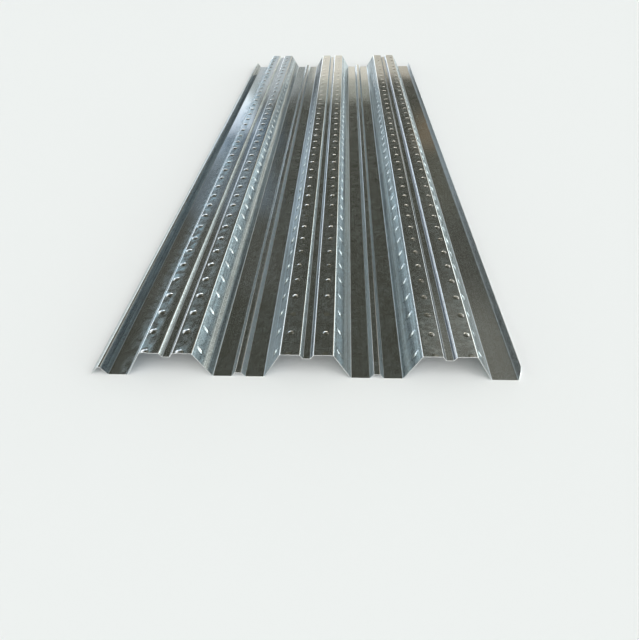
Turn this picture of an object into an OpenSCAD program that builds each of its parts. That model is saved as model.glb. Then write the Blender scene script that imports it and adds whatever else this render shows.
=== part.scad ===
// Trapezoidal steel floor decking sheet.
// Rolled from one flat strip: three crests, two inner pans and two half pans,
// with a groove along each crest, a rib along each inner pan, a hooked lip on
// the -X edge and a plain upright lip on the +X edge. +Y runs along the sheet,
// +Z is up, and the origin is under the middle of the sheet's outline.

/* [Sheet] */
// Length of the sheet along the corrugations
sheet_length = 2200; // [600:50:3000]
// Thickness of the steel
thickness = 1.0; // [0.8:0.1:1.5]
// Overall height, underside of the pans to top of the crests
height = 51; // [45:1:60]

/* [Corrugation] */
// Distance between neighbouring crests
pitch = 240; // [230:1:260]
// Number of crests
crests = 3; // [1:1:4]
// Width of a crest's top between its corners
crest_w = 90; // [80:1:100]
// Width of a pan's floor between its corners
pan_w = 90; // [80:1:100]

/* [Crest groove] */
// Width of the groove at the crest's top
groove_top_w = 23.6; // [20:0.2:28]
// Width of the groove's floor
groove_floor_w = 12.8; // [10:0.2:16]
// Depth of the groove
groove_depth = 7.8; // [4:0.2:10]

/* [Pan rib] */
// Width of the rib at the pan's floor
rib_base_w = 23.2; // [20:0.2:28]
// Width of the rib's top
rib_top_w = 10; // [8:0.2:14]
// Height of the rib
rib_height = 8.5; // [4:0.5:10]

/* [Hooked lip] */
// Width of the half pan beside the hooked lip
left_pan_w = 35; // [25:1:45]
// Sideways run of the hook's inner leg
hook_inner_run = 11.5; // [8:0.5:16]
// Height of the hook above the pan
hook_height = 16.5; // [12:0.5:22]
// Width of the hook's top
hook_top_w = 3.4; // [3:0.2:8]
// Sideways run of the hook's outer leg
hook_outer_run = 14.5; // [8:0.5:18]
// Gap between the outer leg's edge and the level of the pan
hook_edge_gap = 1.5; // [1:0.5:5]

/* [Upright lip] */
// Width of the half pan beside the upright lip
right_pan_w = 45.4; // [35:0.2:55]
// Sideways lean of the upright lip
lip_run = 5; // [2:0.5:8]
// Height of the upright lip above the pan
lip_height = 17; // [12:0.5:22]
// Length of the snip at the lip's near corner
snip_length = 18; // [8:1:30]

/* [Bends] */
// Bend radius at the crests and pans, to the middle of the steel
bend_r = 3; // [2:0.5:4]
// Bend radius at the groove, rib and lips, to the middle of the steel
small_bend_r = 2; // [1.5:0.1:2.4]
// Flats in each bend
bend_steps = 4; // [2:1:8]

/* [Hidden] */

rise = height - thickness;
web_run = (pitch - crest_w - pan_w) / 2;

// Middle of crest i, counted from the -X side
function crest_x(i) = (i - (crests - 1) / 2) * pitch;

// Corners of the steel's middle line as [x, z, bend radius], left to right
function crest_line(c) = [
    [c - crest_w / 2 - web_run, 0, bend_r],
    [c - crest_w / 2, rise, bend_r],
    [c - groove_top_w / 2, rise, small_bend_r],
    [c - groove_floor_w / 2, rise - groove_depth, small_bend_r],
    [c + groove_floor_w / 2, rise - groove_depth, small_bend_r],
    [c + groove_top_w / 2, rise, small_bend_r],
    [c + crest_w / 2, rise, bend_r],
    [c + crest_w / 2 + web_run, 0, bend_r]
];
function rib_line(c) = [
    [c - rib_base_w / 2, 0, small_bend_r],
    [c - rib_top_w / 2, rib_height, small_bend_r],
    [c + rib_top_w / 2, rib_height, small_bend_r],
    [c + rib_base_w / 2, 0, small_bend_r]
];

left_fold_x = crest_x(0) - crest_w / 2 - web_run - left_pan_w;
right_fold_x = crest_x(crests - 1) + crest_w / 2 + web_run + right_pan_w;
hook_x = left_fold_x - hook_inner_run;

hook_line = [
    [hook_x - hook_top_w - hook_outer_run, hook_edge_gap, 0],
    [hook_x - hook_top_w, hook_height, small_bend_r],
    [hook_x, hook_height, small_bend_r],
    [left_fold_x, 0, small_bend_r]
];
lip_line = [
    [right_fold_x, 0, small_bend_r],
    [right_fold_x + lip_run, lip_height, 0]
];
middle_line = concat(
    hook_line,
    [for (i = [0 : crests - 1])
        each concat(crest_line(crest_x(i)),
                    i < crests - 1 ? rib_line(crest_x(i) + pitch / 2) : [])],
    lip_line
);

function xz(p) = [p[0], p[1]];
function unit(v) = v / norm(v);
function left_of(d) = [-d[1], d[0]];

// One corner as [point, normal] pairs along its bend
function bend(a, b, c, r) =
    let (d1 = unit(b - a), d2 = unit(c - b),
         angle = atan2(d1[0] * d2[1] - d1[1] * d2[0], d1 * d2),
         side = sign(angle),
         start = b - d1 * r * tan(abs(angle) / 2),
         centre = start + left_of(d1) * r * side)
    [for (k = [0 : bend_steps])
        let (w = angle * k / bend_steps,
             n = left_of([d1[0] * cos(w) - d1[1] * sin(w),
                          d1[0] * sin(w) + d1[1] * cos(w)]))
        [centre - n * r * side, n]];

// The whole middle line as [point, normal] pairs
function bent(line) =
    let (last = len(line) - 1)
    concat(
        [[xz(line[0]), left_of(unit(xz(line[1]) - xz(line[0])))]],
        [for (i = [1 : last - 1])
            each bend(xz(line[i - 1]), xz(line[i]), xz(line[i + 1]), line[i][2])],
        [[xz(line[last]), left_of(unit(xz(line[last]) - xz(line[last - 1])))]]
    );

run = bent(middle_line);
upper = [for (p = run) p[0] + p[1] * thickness / 2];
lower = [for (i = [len(run) - 1 : -1 : 0]) run[i][0] - run[i][1] * thickness / 2];
outline = concat(upper, lower);
x_low = min([for (p = outline) p[0]]);
x_high = max([for (p = outline) p[0]]);

// Section of the sheet, standing on the underside of its pans
module section() {
    translate([-(x_low + x_high) / 2, thickness / 2]) polygon(outline);
}

// Corner taken off the upright lip at the sheet's near end
module lip_snip() {
    x0 = right_fold_x - (x_low + x_high) / 2 + 0.4;
    translate([x0, -sheet_length / 2, 0])
        rotate([90, 0, 90])
            linear_extrude(height = lip_run + 10)
                polygon([
                    [-5, 4],
                    [0, 4],
                    [0.35 * snip_length, 4 + 0.6 * (lip_height - 4)],
                    [snip_length, lip_height + 2],
                    [snip_length, lip_height + 10],
                    [-5, lip_height + 10]
                ]);
}

module decking_sheet() {
    color([0.60, 0.62, 0.63])
        difference() {
            translate([0, sheet_length / 2, 0])
                rotate([90, 0, 0])
                    linear_extrude(height = sheet_length) section();
            lip_snip();
        }
}

decking_sheet();
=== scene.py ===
# Looks of a galvanised steel floor decking sheet: one pressed sheet mesh with
# its dimples and embossments, its zinc finish, a pale floor and soft light.
import math

import bpy
import numpy as np
from mathutils import Matrix, Vector


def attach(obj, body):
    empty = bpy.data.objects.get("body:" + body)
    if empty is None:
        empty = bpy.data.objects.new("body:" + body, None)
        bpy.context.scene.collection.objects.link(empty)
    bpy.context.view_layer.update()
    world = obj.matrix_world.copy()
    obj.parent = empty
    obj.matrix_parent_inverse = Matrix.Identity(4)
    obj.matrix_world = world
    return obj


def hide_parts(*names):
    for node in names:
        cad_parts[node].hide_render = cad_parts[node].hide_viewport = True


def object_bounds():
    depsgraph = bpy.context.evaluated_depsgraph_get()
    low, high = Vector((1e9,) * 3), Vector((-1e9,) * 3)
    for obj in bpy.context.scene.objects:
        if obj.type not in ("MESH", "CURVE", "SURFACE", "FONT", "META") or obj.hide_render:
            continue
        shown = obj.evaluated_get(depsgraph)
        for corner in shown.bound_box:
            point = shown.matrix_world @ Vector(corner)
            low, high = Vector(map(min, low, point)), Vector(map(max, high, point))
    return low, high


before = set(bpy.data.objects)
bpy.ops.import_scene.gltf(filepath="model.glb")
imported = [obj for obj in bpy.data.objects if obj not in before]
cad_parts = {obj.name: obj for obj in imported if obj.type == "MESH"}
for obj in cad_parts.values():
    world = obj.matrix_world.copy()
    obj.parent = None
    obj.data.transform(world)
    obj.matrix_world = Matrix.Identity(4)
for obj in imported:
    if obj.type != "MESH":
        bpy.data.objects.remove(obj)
cad_lo, cad_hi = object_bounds()
CAD_BOX = [[float(v) for v in cad_lo], [float(v) for v in cad_hi]]

# ---------------------------------------------------------------- section
# All section sizes are in millimetres, as rolled.
THICK = 1.0
RISE = 50.0
PITCH = 240.0
CREST_W = 90.0
PAN_W = 90.0
WEB_RUN = (PITCH - CREST_W - PAN_W) / 2
LENGTH = (CAD_BOX[1][1] - CAD_BOX[0][1]) * 1000.0
R_BIG, R_SMALL = 3.0, 2.0


def crest_corners(c):
    """Corners of one crest, each with its bend radius and the name of the flat that follows it."""
    return [
        (c - CREST_W / 2 - WEB_RUN, 0, R_BIG, "web_up"),
        (c - CREST_W / 2, RISE, R_BIG, "crest_l"),
        (c - 11.8, RISE, R_SMALL, "groove_l"),
        (c - 6.4, RISE - 7.8, R_SMALL, "groove_floor"),
        (c + 6.4, RISE - 7.8, R_SMALL, "groove_r"),
        (c + 11.8, RISE, R_SMALL, "crest_r"),
        (c + CREST_W / 2, RISE, R_BIG, "web_down"),
        (c + CREST_W / 2 + WEB_RUN, 0, R_BIG, "pan"),
    ]


def rib_corners(c):
    return [
        (c - 11.6, 0, R_SMALL, "rib_l"),
        (c - 5.0, 8.5, R_SMALL, "rib_top"),
        (c + 5.0, 8.5, R_SMALL, "rib_r"),
        (c + 11.6, 0, R_SMALL, "pan"),
    ]


CRESTS = (-PITCH, 0.0, PITCH)
FOLD_L = CRESTS[0] - CREST_W / 2 - WEB_RUN - 35.0
FOLD_R = CRESTS[2] + CREST_W / 2 + WEB_RUN + 45.4
HOOK_X = FOLD_L - 11.5
corners = [
    (HOOK_X - 3.4 - 14.5, 1.5, 0, "hook_out"),
    (HOOK_X - 3.4, 16.5, R_SMALL, "hook_top"),
    (HOOK_X, 16.5, R_SMALL, "hook_in"),
    (FOLD_L, 0, R_SMALL, "edge_pan"),
]
for n, c in enumerate(CRESTS):
    corners += crest_corners(c)
    if n < 2:
        corners += rib_corners(c + PITCH / 2)
corners[-1] = corners[-1][:3] + ("edge_pan",)
corners += [(FOLD_R, 0, R_SMALL, "lip"), (FOLD_R + 5.0, 17.0, 0, "end")]


def make_section(corners):
    """Straight and bent stretches of the steel's middle line, by distance along it."""
    pts = [np.array(c[:2], float) for c in corners]
    out, s, cur = [], 0.0, pts[0]
    for i in range(1, len(pts)):
        d1 = (pts[i] - pts[i - 1]) / np.linalg.norm(pts[i] - pts[i - 1])
        phi = math.atan2(d1[1], d1[0])
        name, r = corners[i - 1][3], corners[i][2]
        if i == len(pts) - 1:
            n = np.linalg.norm(pts[i] - cur)
            out.append(dict(kind="line", name=name, s0=s, s1=s + n, p=cur, d=d1))
            break
        d2 = (pts[i + 1] - pts[i]) / np.linalg.norm(pts[i + 1] - pts[i])
        ang = math.atan2(d1[0] * d2[1] - d1[1] * d2[0], float(d1 @ d2))
        tl = r * math.tan(abs(ang) / 2)
        a = pts[i] - d1 * tl
        n = float(np.linalg.norm(a - cur))
        out.append(dict(kind="line", name=name, s0=s, s1=s + n, p=cur, d=d1))
        s += n
        side = math.copysign(1.0, ang)
        centre = a + np.array([-d1[1], d1[0]]) * r * side
        out.append(dict(kind="arc", name="bend", s0=s, s1=s + r * abs(ang), c=centre, r=r, side=side, phi=phi))
        s += r * abs(ang)
        cur = pts[i] + d2 * tl
    return out


SEGS = make_section(corners)


def section(s):
    """x, z and the upward normal of the middle line at distance s along it."""
    s = np.asarray(s, float)
    x, z, nx, nz = (np.zeros_like(s) for _ in range(4))
    for k, g in enumerate(SEGS):
        m = (s >= g["s0"]) if k else np.ones(s.shape, bool)
        if k < len(SEGS) - 1:
            m &= s < g["s1"]
        if not m.any():
            continue
        u = s[m] - g["s0"]
        if g["kind"] == "line":
            x[m] = g["p"][0] + g["d"][0] * u
            z[m] = g["p"][1] + g["d"][1] * u
            nx[m], nz[m] = -g["d"][1], g["d"][0]
        else:
            phi = g["phi"] + g["side"] * u / g["r"]
            nx[m], nz[m] = -np.sin(phi), np.cos(phi)
            x[m] = g["c"][0] - nx[m] * g["r"] * g["side"]
            z[m] = g["c"][1] - nz[m] * g["r"] * g["side"]
    return x, z, nx, nz


# ---------------------------------------------------------------- pressed relief
FEED = 56.5           # spacing of the pressings along the sheet
DOME_Y0 = 2.7         # first dome, from the near end
DASH_Y0 = DOME_Y0 + 22.3
LAST = 38             # number of the last pressing in a row
DASH_A, DASH_B, DASH_TILT = 11.0, 5.0, math.radians(14)
CAP, RIM = 0.9, 0.9 + 0.19 / 0.9   # a pressing is a round cap out to CAP of its size, then a fillet that ends at RIM
# for each crest: sideways place of its two dome rows, their heights, size and unevenness, and how far its dashes lie below the crest
DOME_AT = ((-35.4, 24.0), (-31.0, 31.0), (-25.5, 35.0))
DOME_H = ((1.8, 1.75), (0.85, 0.85), (1.0, 1.2))
DOME_R = ((7.0, 7.8), (5.5, 6.0), (5.8, 6.4))
DOME_VARY = (0.10, 0.65, 0.30)
DASH_BELOW = (14.5, 17.5, 17.5)
DASH_H = ((1.9, 1.9), (2.5, 1.8), (1.8, 1.8))

dome_rows, dash_rows = [], []   # (s of the row's middle, height, size, unevenness, seed) and (s, direction of up-slope in s, height, seed)
crest_no = -1
for g in SEGS:
    if g["kind"] != "line":
        continue
    if g["name"] == "web_up":
        crest_no += 1
        g["row"] = len(dash_rows)
        dash_rows.append((g["s1"] - DASH_BELOW[crest_no], 1.0, DASH_H[crest_no][0], 11 * crest_no + 1))
    elif g["name"] == "web_down":
        g["row"] = len(dash_rows)
        dash_rows.append((g["s0"] + DASH_BELOW[crest_no], -1.0, DASH_H[crest_no][1], 11 * crest_no + 5))
    elif g["name"] in ("crest_l", "crest_r"):
        side = 0 if g["name"] == "crest_l" else 1
        want = CRESTS[crest_no] + DOME_AT[crest_no][side]
        g["row"] = len(dome_rows)
        dome_rows.append((g["s0"] + want - g["p"][0], DOME_H[crest_no][side], DOME_R[crest_no], DOME_VARY[crest_no], 7 * crest_no + side))


def vary(k, seed, amount):
    """Small repeatable difference from one pressing to the next."""
    return 1.0 + amount * np.sin(k * 12.9898 + seed * 78.233) * np.cos(k * 4.131 + seed * 3.7)


def cap(q):
    """Height of a pressing, 1 in its middle, from the square of the distance from it over the pressing's size."""
    q = np.sqrt(q)
    return np.where(q < CAP, 1 - q**2, 0.81 / 0.19 * np.clip(RIM - q, 0, 1) ** 2)


def relief(s, y, high=None):
    """Height pressed up at a place on the strip; with high, how far it was polished by the press instead, the same mask
    that carries the highlight painted on the pressings.
    """
    h = np.zeros_like(s)
    for sc, dome, (rx, ry), uneven, seed in dome_rows:
        m = np.abs(s - sc) < rx * RIM
        if not m.any():
            continue
        k = np.round((y[m] - DOME_Y0) / FEED)
        dy = (y[m] - DOME_Y0 - k * FEED) / ry
        each = high or dome * vary(k, seed, uneven) * np.where((k < 1) & (uneven > 0.2), 0.4, 1.0)
        h[m] += each * cap(((s[m] - sc) / rx) ** 2 + dy**2) * (k <= LAST)
    for sc, up, dash, seed in dash_rows:
        m = np.abs(s - sc) < DASH_A * RIM
        if not m.any():
            continue
        k = np.round((y[m] - DASH_Y0) / FEED)
        ds, dy = (s[m] - sc) * up, y[m] - DASH_Y0 - k * FEED
        u = ds * math.cos(DASH_TILT) + dy * math.sin(DASH_TILT)
        v = -ds * math.sin(DASH_TILT) + dy * math.cos(DASH_TILT)
        each = 0.22 if high else dash * vary(k, seed, 0.2)
        h[m] += each * cap((u / DASH_A) ** 2 + (v / DASH_B) ** 2) * (k <= LAST)
    return h


def dash_shade_ring(s, y):
    """1 in the ring round a dash, where shade is painted round it."""
    h = np.zeros_like(s)
    for sc, up, _, _ in dash_rows:
        k = np.round((y - DASH_Y0) / FEED)
        ds, dy = (s - sc) * up, y - DASH_Y0 - k * FEED
        u = ds * math.cos(DASH_TILT) + dy * math.sin(DASH_TILT)
        v = -ds * math.sin(DASH_TILT) + dy * math.cos(DASH_TILT)
        h += np.clip(1 - np.abs(np.sqrt((u / DASH_A) ** 2 + (v / DASH_B) ** 2) - RIM) / 0.085, 0, 1) * (k <= LAST)
    return h


def waves(s, y):
    """Faint springing of the flats along the sheet."""
    a = np.sin(y / 131.0 + s / 57.0) + np.sin(y / 83.0 - s / 91.0 + 1.7) + 0.7 * np.sin(y / 47.0 + s / 23.0 + 0.4)
    return 0.05 * (a + 2.7)


def surface(s, y, side):
    x, z, nx, nz = section(s)
    h = relief(s, y) + waves(s, y) + side * THICK / 2
    return np.stack([x + nx * h, y, z + nz * h], 1)


# ---------------------------------------------------------------- mesh
CELL0 = DOME_Y0 - 17.0
stations = [0.0] + [CELL0 + FEED * j for j in range(1, 40)] + [LENGTH]
PARTS = {"hook_out": 2, "hook_top": 1, "hook_in": 2, "edge_pan": 4, "pan": 3, "groove_l": 1, "groove_floor": 2,
         "groove_r": 1, "rib_l": 1, "rib_top": 2, "rib_r": 1}
cols, strip = [], {}


def add_cols(values):
    for v in values:
        if not cols or v - cols[-1] > 1e-6:
            cols.append(v)


for g in SEGS:
    a, b = g["s0"], g["s1"]
    if g["kind"] == "arc":
        n = 6 if g["r"] > 2.5 else 5
        add_cols(a + (b - a) * k / n for k in range(n + 1))
    elif g["name"] in ("crest_l", "crest_r"):
        add_cols([a])
        strip[len(cols) - 1] = ("dome", g["row"])
        add_cols([b])
    elif g["name"] == "web_up":
        add_cols([a, a + 8, a + 16, b - 33])
        strip[len(cols) - 1] = ("dash", g["row"])
        add_cols([b - 1, b])
    elif g["name"] == "web_down":
        add_cols([a, a + 1])
        strip[len(cols) - 1] = ("dash", g["row"])
        add_cols([a + 33, b - 16, b - 8, b])
    elif g["name"] == "lip":
        add_cols([a, a + 2, a + 5, a + 8, a + 11, b - 2, b])
    else:
        n = PARTS[g["name"]]
        add_cols(a + (b - a) * k / n for k in range(n + 1))

NC, NS = len(cols), len(stations)
vs, vy = [], []          # distance along the section, distance from the near end
faces, near_chain = [], []


def vert(s, y):
    vs.append(s)
    vy.append(y)
    return len(vs) - 1


def snip(s):
    """How far the near end is cut back at the upright lip."""
    lip = SEGS[-1]
    if s <= lip["s0"]:
        return 0.0
    z = lip["p"][1] + lip["d"][1] * (s - lip["s0"])
    return float(np.interp(z, [3.4, 11.2, 18.4], [0.0, 6.3, 18.0]))


grid = [[vert(s, y if j else snip(s)) for j, y in enumerate(stations)] for s in cols]


def join(ring, sides, fans):
    """Triangles between a convex ring and the corners of its cell. sides holds (corner, corner, place in the ring)
    for each side of the cell, and fans holds (corner, first place, last place), all going anticlockwise."""
    n = len(ring)
    for c0, c1, k in sides:
        faces.append((ring[k % n], c0, c1))
    for c, k0, k1 in fans:
        for k in range(k0, k1):
            faces.append((ring[k % n], c, ring[(k + 1) % n]))


def rings(points, centre):
    """Fan and quads for rings of vertices around a centre vertex."""
    first = points[0]
    n = len(first)
    for k in range(n):
        faces.append((centre, first[k], first[(k + 1) % n]))
    for a, b in zip(points, points[1:]):
        for k in range(n):
            q = (k + 1) % n
            faces.append((a[k], b[k], b[q], a[q]))


def patch(i, j, sc, yc, ax, ay, up, tilt, seg, levels):
    """One pressing: rings round its middle, joined to the corners of its cell."""
    c = vert(sc, yc)
    pts, place = [], []
    for lv in levels:
        row = []
        for k in range(seg):
            w = 2 * math.pi * k / seg
            u, v = ax * lv * math.cos(w), ay * lv * math.sin(w)
            ds, dy = u * math.cos(tilt) - v * math.sin(tilt), u * math.sin(tilt) + v * math.cos(tilt)
            row.append((ds * up, dy))
        if up < 0:
            row.reverse()
        pts.append([vert(sc + a, yc + b) for a, b in row])
        place = row
    rings(pts, c)
    # the ring's outermost places to the right, back, left and front
    e, n, w, s = (max(range(seg), key=lambda k: place[k][0] * dx + place[k][1] * dy)
                  for dx, dy in ((1, 0), (0, 1), (-1, 0), (0, -1)))
    n, w, s = e + (n - e) % seg, e + (w - e) % seg, e + (s - e) % seg
    sw, se, ne, nw = grid[i][j], grid[i + 1][j], grid[i + 1][j + 1], grid[i][j + 1]
    join(pts[-1], ((se, ne, e), (ne, nw, n), (nw, sw, w), (sw, se, s)),
         ((ne, e, n), (nw, n, w), (sw, w, s), (se, s, e + seg)))


def cut_patch(i, sc, yc, ax, ay, seg, levels):
    """A pressing that the near end cuts through: half rings about a point on the cut edge."""
    c = vert(sc, 0.0)
    pts, place = [], []
    for lv in levels:
        lv = max(lv, yc / ay + 0.08)
        row = []
        for k in range(seg + 1):
            w = math.pi * k / seg
            cw, sw = math.cos(w) / ax, math.sin(w) / ay
            y0 = yc / ay
            a2, b2, c2 = cw * cw + sw * sw, -2 * sw * y0, y0 * y0 - lv * lv
            r = (-b2 + math.sqrt(max(b2 * b2 - 4 * a2 * c2, 0.0))) / (2 * a2)
            row.append((r * math.cos(w), r * math.sin(w) if 0 < k < seg else 0.0))
        pts.append([vert(sc + a, b) for a, b in row])
        place = row
    for k in range(seg):
        faces.append((c, pts[0][k], pts[0][k + 1]))
    for a, b in zip(pts, pts[1:]):
        for k in range(seg):
            faces.append((a[k], b[k], b[k + 1], a[k + 1]))
    e, n, w = (max(range(seg + 1), key=lambda k: place[k][0] * dx + place[k][1] * dy)
               for dx, dy in ((1, 0), (0, 1), (-1, 0)))
    sw, se, ne, nw = grid[i][0], grid[i + 1][0], grid[i + 1][1], grid[i][1]
    join(pts[-1], ((se, ne, e), (ne, nw, n), (nw, sw, w)), ((se, 0, e), (ne, e, n), (nw, n, w), (sw, w, seg)))
    return [row[-1] for row in reversed(pts)] + [c] + [row[0] for row in pts]


for i in range(NC - 1):
    near_chain.append(grid[i][0])
    kind, row = strip.get(i, (None, None))
    for j in range(NS - 1):
        if kind == "dome" and j <= LAST:
            sc, _, (rx, ry) = dome_rows[row][:3]
            if j == 0:
                near_chain += cut_patch(i, sc, DOME_Y0, rx, ry, 12, (0.3, 0.6, CAP, RIM))
            else:
                patch(i, j, sc, DOME_Y0 + FEED * j, rx, ry, 1.0, 0.0, 20, (0.45, CAP, RIM))
        elif kind == "dash" and j <= LAST:
            sc, up = dash_rows[row][:2]
            patch(i, j, sc, DASH_Y0 + FEED * j, DASH_A, DASH_B, up, DASH_TILT, 18, (0.45, CAP, RIM, 1.2))
        else:
            faces.append((grid[i][j], grid[i + 1][j], grid[i + 1][j + 1], grid[i][j + 1]))
near_chain.append(grid[NC - 1][0])
far_chain = [grid[i][NS - 1] for i in range(NC)]

S, Y = np.array(vs), np.array(vy)
N = len(S)


def normals(side):
    e = 0.02
    ps = surface(S + e, Y, side) - surface(S - e, Y, side)
    py = surface(S, Y + e, side) - surface(S, Y - e, side)
    n = np.cross(ps, py)
    return n / np.linalg.norm(n, axis=1)[:, None]


verts = np.concatenate([surface(S, Y, 1.0), surface(S, Y, -1.0)])
vnorm = np.concatenate([normals(1.0), -normals(-1.0)])
all_faces = list(faces) + [tuple(v + N for v in reversed(f)) for f in faces]
skin = len(all_faces)
for a, b in zip(near_chain, near_chain[1:]):
    all_faces.append((a, a + N, b + N, b))
for a, b in zip(far_chain, far_chain[1:]):
    all_faces.append((b, b + N, a + N, a))
for j in range(NS - 1):
    a, b = grid[0][j], grid[0][j + 1]
    all_faces.append((b, b + N, a + N, a))
    a, b = grid[NC - 1][j], grid[NC - 1][j + 1]
    all_faces.append((a, a + N, b + N, b))

x_low = verts[:, 0].min()
x_high = verts[:, 0].max()
SHIFT = np.array([-(x_low + x_high) / 2, -LENGTH / 2, THICK / 2])
verts = (verts + SHIFT) * 0.001

me = bpy.data.meshes.new("decking_sheet_skin")
me.from_pydata(verts.tolist(), [], all_faces)
me.update()
me.polygons.foreach_set("use_smooth", [k < skin for k in range(len(me.polygons))])
face_n = np.zeros(len(me.polygons) * 3)
me.polygons.foreach_get("normal", face_n)
face_n = face_n.reshape(-1, 3)
loop_v = np.zeros(len(me.loops), dtype=np.int32)
me.loops.foreach_get("vertex_index", loop_v)
loop_n = vnorm[loop_v]
starts = np.zeros(len(me.polygons), dtype=np.int32)
totals = np.zeros(len(me.polygons), dtype=np.int32)
me.polygons.foreach_get("loop_start", starts)
me.polygons.foreach_get("loop_total", totals)
for k in range(skin, len(me.polygons)):
    loop_n[starts[k]:starts[k] + totals[k]] = face_n[k]
me.normals_split_custom_set(loop_n.tolist())

# For the finish: place on the flat strip in millimetres, how much each point lies on a bend, and how steep it stands
WIDTH = SEGS[-1]["s1"]
bend, fold = np.zeros(N), np.zeros(N)     # fold: the hollow bends only
for g in SEGS:
    if g["kind"] == "arc":
        m = (S > g["s0"] - 1e-6) & (S < g["s1"] + 1e-6)
        mid = (g["s0"] + g["s1"]) / 2
        half = (g["s1"] - g["s0"]) / 2
        w = 1 - (np.abs(S[m] - mid) / half) ** 2
        bend[m] = np.maximum(bend[m], w)
        if g["side"] > 0:
            fold[m] = np.maximum(fold[m], w)
steep = np.clip((np.abs(section(S)[2]) - 0.15) / 0.6, 0, 1)


def attribute(name, kind, top, under, field):
    att = me.attributes.new(name, kind, "POINT")
    att.data.foreach_set(field, np.concatenate([top, under]).astype(np.float32).ravel())


attribute("bend", "FLOAT", bend, bend, "value")
pressed = relief(S, Y, 1.0)
attribute("pressed", "FLOAT", pressed, pressed, "value")
attribute("fold", "FLOAT", fold, fold, "value")
ring = dash_shade_ring(S, Y)
attribute("ring", "FLOAT", ring, ring, "value")
attribute("steep", "FLOAT", steep, steep, "value")
attribute("strip", "FLOAT_VECTOR", np.stack([S, Y, np.zeros(N)], 1), np.stack([S, Y, np.full(N, 700.0)], 1), "vector")

# Texture map of the flat strip: upper side, underside, then the cut edges in narrow bars between them
uv = np.zeros((len(me.loops), 2))
on = loop_v % N
under = loop_v >= N
uv[:, 0] = np.where(under, 0.99 - 0.465 * S[on] / WIDTH, 0.01 + 0.465 * S[on] / WIDTH)
uv[:, 1] = 0.01 + 0.98 * Y[on] / LENGTH
BARS = ((len(near_chain) - 1, 0.480, True), (len(far_chain) - 1, 0.490, True), (2 * (NS - 1), 0.500, False))
k = skin
for count, u0, across in BARS:
    for q in range(k, k + count):
        sel = slice(starts[q], starts[q] + totals[q])
        uv[sel, 0] = u0 + np.where(under[sel], 0.006, 0.0)
        if across:
            uv[sel, 1] = 0.01 + 0.98 * S[on[sel]] / WIDTH
        elif (q - k) % 2:
            uv[sel, 0] += 0.010
    k += count
layer = me.uv_layers.new(name="OFBake")
layer.uv.foreach_set("vector", uv.astype(np.float32).ravel())

sheet = bpy.data.objects.new("decking_sheet_skin", me)
bpy.context.scene.collection.objects.link(sheet)
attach(sheet, "root")
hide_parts("decking_sheet")


# ---------------------------------------------------------------- node helpers
def node(nt, kind, **values):
    n = nt.nodes.new(kind)
    for k, v in values.items():
        setattr(n, k, v)
    return n


def put(nt, socket, v):
    if isinstance(v, bpy.types.NodeSocket):
        nt.links.new(v, socket)
    else:
        socket.default_value = v


def maths(nt, op, a, b=0.0, clamp=False):
    n = node(nt, "ShaderNodeMath", operation=op, use_clamp=clamp)
    put(nt, n.inputs[0], a)
    put(nt, n.inputs[1], b)
    return n.outputs[0]


def remap(nt, v, lo, hi, a=0.0, b=1.0):
    """Smooth step of v from lo to hi, giving a to b."""
    n = node(nt, "ShaderNodeMapRange", interpolation_type="SMOOTHSTEP")
    for k, x in (("Value", v), ("From Min", lo), ("From Max", hi), ("To Min", a), ("To Max", b)):
        put(nt, n.inputs[k], x)
    return n.outputs[0]


def add_up(nt, *terms):
    total = terms[0]
    for x in terms[1:]:
        total = maths(nt, "ADD", total, x)
    return total


# ---------------------------------------------------------------- zinc finish
mat = bpy.data.materials.new("galvanised_steel")
mat.use_nodes = True
nt = mat.node_tree
nt.nodes.clear()
strip_at = node(nt, "ShaderNodeAttribute", attribute_name="strip").outputs["Vector"]
on_bend = node(nt, "ShaderNodeAttribute", attribute_name="bend").outputs["Fac"]
on_slope = node(nt, "ShaderNodeAttribute", attribute_name="steep").outputs["Fac"]
# on the pressings: smoother from the press, and painted paler in the tone as a painted highlight
on_press = remap(nt, node(nt, "ShaderNodeAttribute", attribute_name="pressed").outputs["Fac"], 0.0, 0.25)
on_fold = node(nt, "ShaderNodeAttribute", attribute_name="fold").outputs["Fac"]
# the ring round each dash, darkened in the tone as painted shade
on_dash_shade = node(nt, "ShaderNodeAttribute", attribute_name="ring").outputs["Fac"]
split = node(nt, "ShaderNodeSeparateXYZ")
put(nt, split.inputs[0], strip_at)
ACROSS, ALONG = split.outputs["X"], split.outputs["Y"]


def spot(across, along, turn=0.0):
    """Texture place: the flat strip turned by an angle, then divided by a length across and along it, in millimetres."""
    v = strip_at
    if turn:
        r = node(nt, "ShaderNodeVectorRotate", rotation_type="Z_AXIS")
        put(nt, r.inputs["Vector"], v)
        r.inputs["Angle"].default_value = math.radians(turn)
        v = r.outputs[0]
    n = node(nt, "ShaderNodeVectorMath", operation="MULTIPLY")
    put(nt, n.inputs[0], v)
    n.inputs[1].default_value = (1 / across, 1 / along, 0.013)
    return n.outputs[0]


def cloud(across, along, detail=2.0, turn=0.0, rough=0.5):
    n = node(nt, "ShaderNodeTexNoise")
    put(nt, n.inputs["Vector"], spot(across, along, turn))
    n.inputs["Scale"].default_value = 1.0
    n.inputs["Detail"].default_value = detail
    n.inputs["Roughness"].default_value = rough
    return n.outputs["Fac"]


def cells(size):
    """A random even value from 0 to 1 for each crystal of about this size."""
    n = node(nt, "ShaderNodeTexVoronoi", voronoi_dimensions="3D")
    put(nt, n.inputs["Vector"], spot(size, size))
    n.inputs["Scale"].default_value = 1.0
    c = node(nt, "ShaderNodeSeparateColor")
    put(nt, c.inputs[0], n.outputs["Color"])
    return c.outputs[0]


def flats(name):
    return [(g["s0"], g["s1"]) for g in SEGS if g["kind"] == "line" and g["name"] == name]


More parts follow.
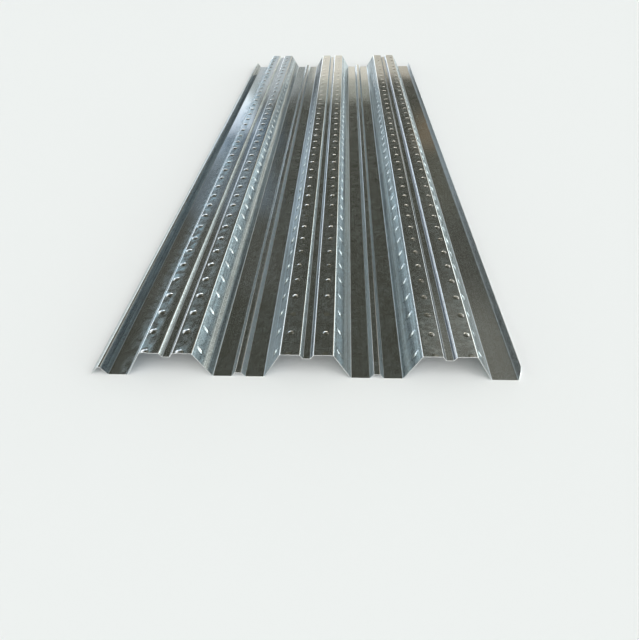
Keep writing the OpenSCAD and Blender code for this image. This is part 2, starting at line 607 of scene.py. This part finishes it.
def profile(stops):
    """A value that changes across the strip, from (distance, value) stops in order."""
    n = node(nt, "ShaderNodeValToRGB")
    n.color_ramp.interpolation = "LINEAR"
    el = n.color_ramp.elements
    while len(el) < len(stops):
        el.new(1.0)
    for e, (s, v) in zip(el, stops):
        e.position = s / WIDTH
        e.color = (v, v, v, 1)
    put(nt, n.inputs["Fac"], maths(nt, "DIVIDE", ACROSS, WIDTH))
    return n.outputs["Color"]


def mid(v):
    return maths(nt, "SUBTRACT", v, 0.5)


def times(*terms):
    total = terms[0]
    for x in terms[1:]:
        total = maths(nt, "MULTIPLY", total, x)
    return total


crystal = cells(9.0)
speck = cells(0.25)
grain = cloud(1.3, 1.3, 1.0)
streak = cloud(1.6, 260.0, 3.0)
lanes = cloud(13.0, 1400.0, 1.0)
bands = cloud(4.5, 600.0, 2.0)
flecks = cloud(3.2, 4.0, 2.0, rough=0.6)
patches = cloud(38.0, 80.0, 4.0, rough=0.62)
mottle = cloud(7.0, 9.0, 3.0, rough=0.6)
blots = cloud(13.0, 24.0, 2.0, turn=28.0)
rubs = remap(nt, cloud(1.3, 22.0, 2.0, turn=33.0), 0.50, 0.68)
rubs2 = remap(nt, cloud(1.2, 30.0, 2.0, turn=-16.0), 0.54, 0.70)

# Handling wear across the strip: most on the outer crests, beside the dome rows, least by the grooves and in the pans
(l0, l1), (w0, w1) = flats("edge_pan")[0], flats("edge_pan")[1]
stops = [(l0, 0.0), (l0 + 13, 0.03), (l1 - 7, 0.45), (l1, 0.55)]
for n, (c0, c1, d0, d1) in enumerate([(*a, *b) for a, b in zip(flats("crest_l"), flats("crest_r"))]):
    inner, outer = ((0.06, 0.95), (0.12, 0.16), (0.14, 0.20))[n]
    sc = dome_rows[2 * n][0]
    stops += [(c0, outer), (sc + 8, outer), (min(sc + 13, c1 - 1), inner)]
    inner, outer = ((0.06, 0.55), (0.12, 0.16), (0.14, 0.27))[n]
    sc = dome_rows[2 * n + 1][0]
    stops += [(max(sc - 14, d0), inner), (sc - 8, outer), (min(sc + 9, d1 - 1), outer), (d1, inner)]
stops += [(d1 + 6, 0.05), (w0, 0.05), (w1, 0.12)]
handled = times(profile(stops), remap(nt, patches, 0.30, 0.62, 0.35, 1.0), remap(nt, blots, 0.36, 0.58, 0.30, 1.0))

# A paler lane low on each web and paler left slopes of the grooves, rougher too; their pale cream is a painted
# highlight
stops = [(0.0, 0.0)]
for n, (u, d) in enumerate(zip(flats("web_up"), flats("web_down"))):
    for (s0, s1), (f0, f1, v) in ((u, ((0.12, 0.34, 0.2), (0.10, 0.26, 0.2), (0.12, 0.34, 0.35))[n]),
                                  (d, ((0.51, 0.75, 1.0), (0.55, 0.70, 0.25), (0.60, 0.88, 0.3))[n])):
        at = [s0 + (s1 - s0) * f for f in (f0 - 0.05, f0 + 0.03, f1 - 0.03, f1 + 0.05)]
        stops += [(at[0], 0.0), (at[1], v), (at[2], v), (at[3], 0.0)]
lane = profile(stops)
stops = [(0.0, 0.0)]
for (s0, s1), v in zip(flats("groove_l"), (0.7, 0.3, 0.0)):
    stops += [(s0 - 1.5, 0.0), (s0, v), (s1 - 2.5, v), (s1 - 0.5, 0.0)]
lane_highlight = times(maths(nt, "ADD", lane, profile(stops)), remap(nt, grain, 0.30, 0.62, 0.45, 1.0), remap(nt, lanes, 0.25, 0.70, 0.7, 1.0))

# Slopes rolled smooth, the upright lip among them, and the ribs' duller ones
def slopes(items):
    stops = [(0.0, 0.0)]
    for (s0, s1), v in sorted(items):
        stops += [(s0 - 0.5, 0.0), (s0, v), (s1, v), (s1 + 0.5, 0.0)]
    return profile([x for x in stops if x[0] <= WIDTH])


# painted shade: a dark line along the grooves' right slopes, the last groove's darker left slope, and the first two
# rising webs darkened
shade = slopes([((s0 + 1.2, s0 + 3.6), 1.0) for s0, s1 in flats("groove_r")] + [(flats("groove_l")[2], 0.75), (flats("web_up")[0], 0.55), (flats("web_up")[1], 0.12)])
# pale and bright paint the grooves' right slopes, the lip and the rib slopes paler: a painted highlight
pale = slopes([(f, 1.0) for f in flats("groove_r") + flats("lip")])
bright = slopes(list(zip(flats("groove_r"), (1.0, 0.45, 1.0))) + [(flats("lip")[0], 0.8)] + [(f, 0.6) for n in ("rib_l", "rib_r") for f in flats(n)])
smooth = slopes(list(zip(flats("groove_r"), (0.15, 0.0, 0.0))) + [(flats("groove_l")[2], 0.25), (flats("lip")[0], 0.3)])
# ribs: duller rib slopes and the last groove's right slope, also painted paler in the tone as a painted highlight
ribs = slopes([(f, 0.3) for n in ("rib_l", "rib_r") for f in flats(n)] + [(flats("groove_r")[2], 0.25)])

# Scuffs where the near end of the last crest was handled
c0, c1 = flats("crest_l")[2][0], flats("crest_r")[2][1]
scuff = times(remap(nt, ACROSS, c0 - 2, c0 + 3), remap(nt, ACROSS, c1 + 3, c1 - 2), remap(nt, ALONG, 260.0, 20.0),
              remap(nt, cloud(18.0, 13.0, 4.0, rough=0.65), 0.45, 0.58))

# Share of the surface that is dull: smooth rolled crystals with dull ones between, more of them on the far half of the lip
far = remap(nt, ALONG, 700.0, 1900.0)
lip_far = times(slopes([(flats("lip")[0], 1.0)]), remap(nt, ALONG, 350.0, 1100.0))
dull = add_up(nt, 0.10, times(on_slope, 0.44), times(handled, 0.95), times(scuff, 0.52), times(lane_highlight, 0.50),
              times(mid(crystal), 0.06), times(mid(streak), 0.30), times(on_slope, rubs, 0.22),
              times(mid(patches), 0.05), times(on_bend, -0.55), times(on_fold, 1.15), times(on_press, -0.6), times(smooth, -1.0), ribs, times(lip_far, 0.75))
is_dull = maths(nt, "LESS_THAN", speck, dull)
rough = add_up(nt, 0.062, times(is_dull, 0.38), times(mid(crystal), 0.03), times(mid(mottle), 0.05), times(rubs2, on_slope, 0.05),
               times(lane, 0.18))

# Cut edges, painted near-white: partly the bare steel the shears leave, partly a painted highlight
flat_map = node(nt, "ShaderNodeUVMap", uv_map="OFBake")
cut = node(nt, "ShaderNodeSeparateXYZ")
put(nt, cut.inputs[0], flat_map.outputs[0])
edge = times(maths(nt, "GREATER_THAN", cut.outputs["X"], 0.4785), maths(nt, "LESS_THAN", cut.outputs["X"], 0.5215))

# Webs grow darker towards the far end, between their dashes: painted shade for the shadows of the dashes there
far_web_shade = slopes(list(zip(flats("web_up"), (0.25, 0.60, 0.22))) + list(zip(flats("web_down"), (0.28, 0.22, 0.30))) + [(flats("hook_in")[0], 0.30)])

# Tone: smooth zinc is a warm grey; the bluish grey of the dull share is a painted tint of the bluish sky light it
# scatters; the lanes low on the webs and the cut edges paler
tone_v = add_up(nt, 1.0, times(mid(crystal), 0.06), times(mid(streak), add_up(nt, 0.20, times(on_slope, 1.1))),
                times(mid(lanes), add_up(nt, 0.08, times(on_slope, 1.0))), times(mid(grain), add_up(nt, 0.25, times(on_slope, 1.5))),
                times(mid(patches), 0.06), times(on_slope, rubs, 0.12), times(rubs2, on_slope, 0.10), times(on_bend, 0.75), times(on_press, 0.40), times(on_dash_shade, -0.55), times(on_slope, -0.18), times(far_web_shade, far, maths(nt, "SUBTRACT", on_press, 1.0)),
                times(handled, mid(mottle), 0.35), times(handled, mid(blots), 1.6), times(handled, 0.35), times(scuff, 0.22), times(ribs, 2.6), times(pale, 0.5),
                times(on_slope, mid(bands), 1.3), times(on_slope, mid(flecks), 1.2))


def blend(share, a, b):
    n = node(nt, "ShaderNodeMix", data_type="RGBA")
    put(nt, n.inputs["Factor"], share)
    put(nt, n.inputs[6], a)
    put(nt, n.inputs[7], b)
    return n.outputs[2]


zinc = blend(dull, (0.605, 0.597, 0.570, 1), (0.465, 0.585, 0.640, 1))
zinc = blend(maths(nt, "MULTIPLY", scuff, 0.8), zinc, (0.60, 0.595, 0.56, 1))
zinc = blend(maths(nt, "MULTIPLY", lane_highlight, 0.9), zinc, (0.96, 0.93, 0.85, 1))
zinc = blend(bright, zinc, (0.65, 0.65, 0.66, 1))
zinc = blend(maths(nt, "MULTIPLY", shade, 0.9), zinc, (0.09, 0.12, 0.17, 1))
# painted highlight: the hollow bends are blended pale here, and all bends are made paler in the tone above
zinc = blend(maths(nt, "MULTIPLY", on_fold, 0.8), zinc, (0.64, 0.65, 0.66, 1))
zinc = blend(edge, zinc, (0.93, 0.93, 0.92, 1))
toned = node(nt, "ShaderNodeVectorMath", operation="SCALE")
put(nt, toned.inputs[0], zinc)
put(nt, toned.inputs["Scale"], maths(nt, "MINIMUM", tone_v, 1.5))

# Fine relief in metres: faint unevenness of the zinc, its grain and the rub marks
height = add_up(nt, times(mottle, 0.32e-5), times(grain, 1.5e-6), times(streak, 1.5e-6), times(on_slope, rubs, 3.0e-6))
bump = node(nt, "ShaderNodeBump")
bump.inputs["Strength"].default_value = 1.0
bump.inputs["Distance"].default_value = 1.0
put(nt, bump.inputs["Height"], height)

bsdf = node(nt, "ShaderNodeBsdfPrincipled")
bsdf.inputs["Metallic"].default_value = 1.0
put(nt, bsdf.inputs["Base Color"], toned.outputs[0])
put(nt, bsdf.inputs["Roughness"], rough)
put(nt, bsdf.inputs["Normal"], bump.outputs[0])
out = node(nt, "ShaderNodeOutputMaterial")
nt.links.new(bsdf.outputs[0], out.inputs[0])
me.materials.append(mat)

# ---------------------------------------------------------------- floor
fm = bpy.data.materials.new("floor")
fm.use_nodes = True
fb = fm.node_tree.nodes["Principled BSDF"]
fb.inputs["Base Color"].default_value = (0.82, 0.82, 0.82, 1)
fb.inputs["Roughness"].default_value = 0.9
fb.inputs["Specular IOR Level"].default_value = 0.1
fme = bpy.data.meshes.new("floor")
fme.from_pydata([(-30, -30, 0), (30, -30, 0), (30, 30, 0), (-30, 30, 0)], [], [(0, 1, 2, 3)])
fme.materials.append(fm)
floor = bpy.data.objects.new("floor", fme)
bpy.context.scene.collection.objects.link(floor)

# ---------------------------------------------------------------- light
world = bpy.data.worlds.new("studio")
bpy.context.scene.world = world
world.use_nodes = True
wn = world.node_tree
wn.nodes.clear()
tc = node(wn, "ShaderNodeTexCoord")
sep = node(wn, "ShaderNodeSeparateXYZ")
wn.links.new(tc.outputs["Generated"], sep.inputs[0])


def wmath(op, a, b=0.0):
    return maths(wn, op, a, b)


EL = wmath("MULTIPLY", wmath("ARCSINE", sep.outputs["Z"]), 57.29578)
AZ = wmath("MULTIPLY", wmath("ARCTAN2", sep.outputs["X"], sep.outputs["Y"]), 57.29578)


def ramp(v, lo, hi):
    return remap(wn, v, lo, hi)


def panel(az, el, soft_az, soft_el):
    """1 inside a soft-edged panel of the surroundings, given by azimuth and elevation in degrees."""
    a = wmath("MULTIPLY", ramp(AZ, az[0] - soft_az, az[0] + soft_az), ramp(AZ, az[1] + soft_az, az[1] - soft_az))
    e = wmath("MULTIPLY", ramp(EL, el[0] - soft_el, el[0] + soft_el), ramp(EL, el[1] + soft_el, el[1] - soft_el))
    return wmath("MULTIPLY", a, e)


PANELS = [
    # azimuth, elevation, softness of each, colour
    ((11, 25), (34, 50), 3, 3, (0.15, 0.15, 0.14)),            # high, right
    ((26, 70), (26, 44), 4, 3, (0.35, 0.33, 0.33)),            # high, far right
    ((-25, -7), (26, 34), 3, 2, (0.03, 0.03, 0.03)),           # glow, left
    ((-17, -7.6), (20, 26), 1.5, 1.5, (0.11, 0.15, 0.20)),
    ((-14, -6.6), (16.5, 20), 1.5, 1, (0.06, 0.12, 0.20)),
    ((9, 25), (26, 34), 3, 2, (0.03, 0.03, 0.03)),             # glow, right
    ((8.5, 17), (20, 26), 1.5, 1.5, (0.06, 0.06, 0.05)),
    ((7.2, 14), (16.5, 20), 1.2, 1, (0.16, 0.115, 0.07)),
    ((-14, -9.0), (14.6, 18.2), 0.8, 0.7, (0.85, 0.95, 1.1)),   # far left window
    ((-14, -8.6), (12.5, 16.5), 0.8, 0.5, (0.38, 0.45, 0.46)), # far wall, from left to right
    ((-8.6, -5.0), (5, 15.3), 0.8, 1.1, (0.58, 0.64, 0.70)),
    ((-5.0, -2.9), (5, 14.9), 0.8, 1.3, (0.32, 0.35, 0.36)),
    ((-2.9, 2.6), (14.0, 15.7), 0.6, 0.5, (0.36, 0.37, 0.33)),
    ((-2.9, 2.6), (5, 14.0), 0.6, 0.5, (0.95, 0.90, 0.80)),
    ((2.6, 9), (5, 13.6), 0.8, 0.5, (0.72, 0.66, 0.57)),
    ((14, 26), (5, 14), 2, 1.5, (0.70, 0.70, 0.64)),
    ((-10.5, -6), (5.2, 10.5), 0.8, 1.0, (1.8, 1.9, 2.0)),
    ((-26, -15), (-3, 5), 2, 1.5, (0.4, 0.45, 0.5)),           # low, from left to right
    ((-15, -4.5), (-3, 5.2), 1, 1.2, (3.6, 3.8, 4.0)),
    ((-4.5, 9), (-3, 5.6), 1, 1.2, (2.7, 2.65, 2.5)),
    ((9, 26), (-3, 5), 2, 1.5, (1.0, 0.98, 0.90)),
    ((-24, -12.8), (8, 20), 1.6, 2, (0.9, 1.1, 1.35)),             # left side
    ((-70, -24), (12, 26), 4, 3, (0.50, 0.58, 0.68)),
    ((-70, -38), (26, 40), 4, 3, (0.9, 0.95, 1.0)),
    ((-38, -27), (25, 33), 3, 2.5, (0.9, 0.95, 1.0)),
    ((-70, -26), (-12, 12), 4, 3, (1.9, 2.1, 2.3)),
    ((-140, -70), (-10, 44), 6, 4, (1.5, 1.6, 1.5)),
    ((38, 70), (26, 42), 4, 3, (0.7, 0.7, 0.7)),
    ((26, 70), (12, 26), 4, 3, (0.55, 0.55, 0.55)),            # right side
    ((26, 70), (-12, 12), 4, 3, (2.6, 2.9, 2.95)),
    ((70, 140), (-10, 44), 6, 4, (2.4, 2.6, 2.6)),
    ((140, 230), (-10, 40), 6, 4, (0.8, 0.8, 0.8)),            # behind
    ((-230, -140), (-10, 40), 6, 4, (0.8, 0.8, 0.8)),
]
# even base, darker overhead
sc = node(wn, "ShaderNodeVectorMath", operation="SCALE")
sc.inputs[0].default_value = (0.083, 0.086, 0.071)
wn.links.new(remap(wn, EL, 47.0, 62.0, 1.0, 0.7), sc.inputs["Scale"])
total = sc.outputs[0]
for az, el, sa, se, col in PANELS:
    sc = node(wn, "ShaderNodeVectorMath", operation="SCALE")
    sc.inputs[0].default_value = col
    wn.links.new(panel(az, el, sa, se), sc.inputs["Scale"])
    add = node(wn, "ShaderNodeVectorMath", operation="ADD")
    wn.links.new(sc.outputs[0], add.inputs[0])
    put(wn, add.inputs[1], total)
    total = add.outputs[0]
bg = node(wn, "ShaderNodeBackground")
wn.links.new(total, bg.inputs["Color"])
pale = node(wn, "ShaderNodeBackground")
pale.inputs["Color"].default_value = (0.86, 0.86, 0.86, 1)
lp = node(wn, "ShaderNodeLightPath")
mix = node(wn, "ShaderNodeMixShader")
wn.links.new(lp.outputs["Is Camera Ray"], mix.inputs[0])
wn.links.new(bg.outputs[0], mix.inputs[1])
wn.links.new(pale.outputs[0], mix.inputs[2])
wo = node(wn, "ShaderNodeOutputWorld")
wn.links.new(mix.outputs[0], wo.inputs[0])


sun = bpy.data.lights.new("key", "SUN")
sun.energy = 1.7
sun.angle = math.radians(60)
so = bpy.data.objects.new("key", sun)
so.rotation_euler = (math.radians(38), 0, math.radians(12))
bpy.context.scene.collection.objects.link(so)
# it lights the floor; the sheet itself shows the panels round it
lit = bpy.data.collections.new("lit_floor")
lit.objects.link(floor)
so.light_linking.receiver_collection = lit

# ---------------------------------------------------------------- camera
PX, PY = 639, 640
FOCAL_PX = 559.36
pitch, yaw, roll = math.radians(37.171), math.radians(2.905), math.radians(-1.138)
cam = bpy.data.cameras.new("camera")
cam.sensor_width = 36.0
cam.lens = FOCAL_PX * 36.0 / max(PX, PY)
cam.clip_start, cam.clip_end = 0.02, 200
co = bpy.data.objects.new("camera", cam)
bpy.context.scene.collection.objects.link(co)
ahead = Vector((-math.sin(yaw) * math.cos(pitch), math.cos(yaw) * math.cos(pitch), -math.sin(pitch)))
right0 = Vector((math.cos(yaw), math.sin(yaw), 0))
down0 = ahead.cross(right0)
right = right0 * math.cos(roll) - down0 * math.sin(roll)
down = right0 * math.sin(roll) + down0 * math.cos(roll)
rot = Matrix((right, -down, -ahead)).transposed()
co.matrix_world = Matrix.Translation(Vector((59.14 + SHIFT[0], -708.91 + SHIFT[1], 662.53 + 1.0)) * 0.001) @ rot.to_4x4()
bpy.context.scene.camera = co

bpy.context.scene.view_settings.view_transform = "Standard"


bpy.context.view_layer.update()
tris = sum(len(p.vertices) - 2 for p in me.polygons)
print("sheet triangles", tris, "columns", NC)
